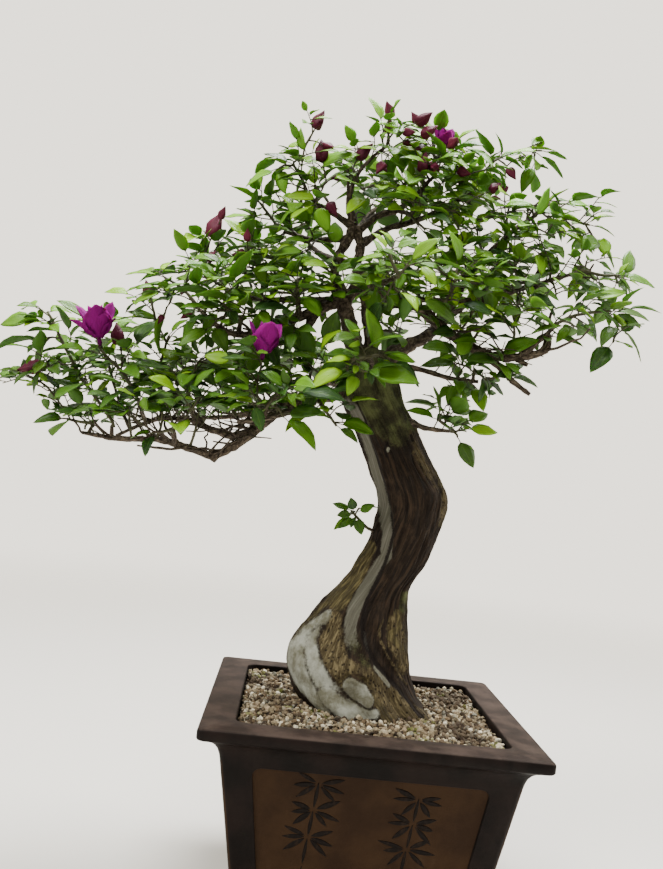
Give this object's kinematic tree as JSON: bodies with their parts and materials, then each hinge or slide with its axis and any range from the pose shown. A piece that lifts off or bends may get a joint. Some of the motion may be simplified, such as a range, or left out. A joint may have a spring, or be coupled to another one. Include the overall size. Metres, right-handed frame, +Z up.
{
  "type": "potted bougainvillea bonsai",
  "caption": "Bougainvillea bonsai with a curved, swollen trunk, a layered leafy crown and magenta bracts, in a square flared clay pot filled with grit.",
  "frame": {"origin": "on the ground, under the middle of the whole part's bounding box", "axes": "+Z up, -Y toward the viewer of the front, +X to that viewer's right, with the pot's sides along X and Y"},
  "size_m": [0.6762, 0.32, 0.836],
  "materials": {
    "pot": "unglazed, matte",
    "soil": "coarse grit",
    "wood": "rough bark with bleached deadwood",
    "leaves": "waxy leaf",
    "bracts_young": "papery",
    "bracts_open": "papery"
  },
  "bodies": {
    "root": {"pot": "pot", "soil": "soil", "wood": "wood", "spray_centre_back": "leaves", "spray_crown_front": "leaves", "spray_crown_left_back": "leaves", "spray_crown_left_inside": "leaves", "spray_crown_left_tip": "leaves", "spray_crown_left_top": "leaves", "spray_far_left": "leaves", "spray_front_crown": "leaves", "spray_left_bloom_twigs": "leaves", "spray_low_back": "leaves", "spray_low_drooping": "leaves", "spray_low_front": "leaves", "spray_low_left_behind": "leaves", "spray_low_left_centre": "leaves", "spray_low_left_far_back": "leaves", "spray_low_left_front": "leaves", "spray_low_left_middle": "leaves", "spray_low_left_tip": "leaves", "spray_mid_left_back": "leaves", "spray_mid_left_front": "leaves", "spray_mid_left_inside": "leaves", "spray_mid_left_near": "leaves", "spray_mid_left_tip": "leaves", "spray_mid_left_upper": "leaves", "spray_right_back": "leaves", "spray_right_front": "leaves", "spray_right_low": "leaves", "spray_right_low_tip": "leaves", "spray_right_shoulder": "leaves", "spray_right_tip": "leaves", "spray_right_top": "leaves", "spray_top": "leaves", "spray_top_back": "leaves", "spray_top_left": "leaves", "spray_top_right": "leaves", "spray_trunk_front": "leaves", "spray_trunk_right": "leaves", "spray_trunk_shoot": "leaves", "left_bloom_twigs_bud_1": "bracts_young", "top_right_bud_2": "bracts_young", "mid_left_upper_bud_3": "bracts_young", "mid_left_upper_bud_4": "bracts_young", "top_bud_5": "bracts_young", "far_left_bud_6": "bracts_young", "low_left_middle_bud_7": "bracts_young", "crown_left_tip_bud_8": "bracts_young", "crown_left_top_bud_9": "bracts_young", "crown_left_inside_bud_10": "bracts_young", "crown_left_inside_bud_11": "bracts_young", "top_left_bud_12": "bracts_young", "right_top_bud_13": "bracts_young", "left_bloom_twigs_bloom": "bracts_open", "low_front_bloom": "bracts_open", "top_right_bloom": "bracts_open"}
  },
  "joints": []
}
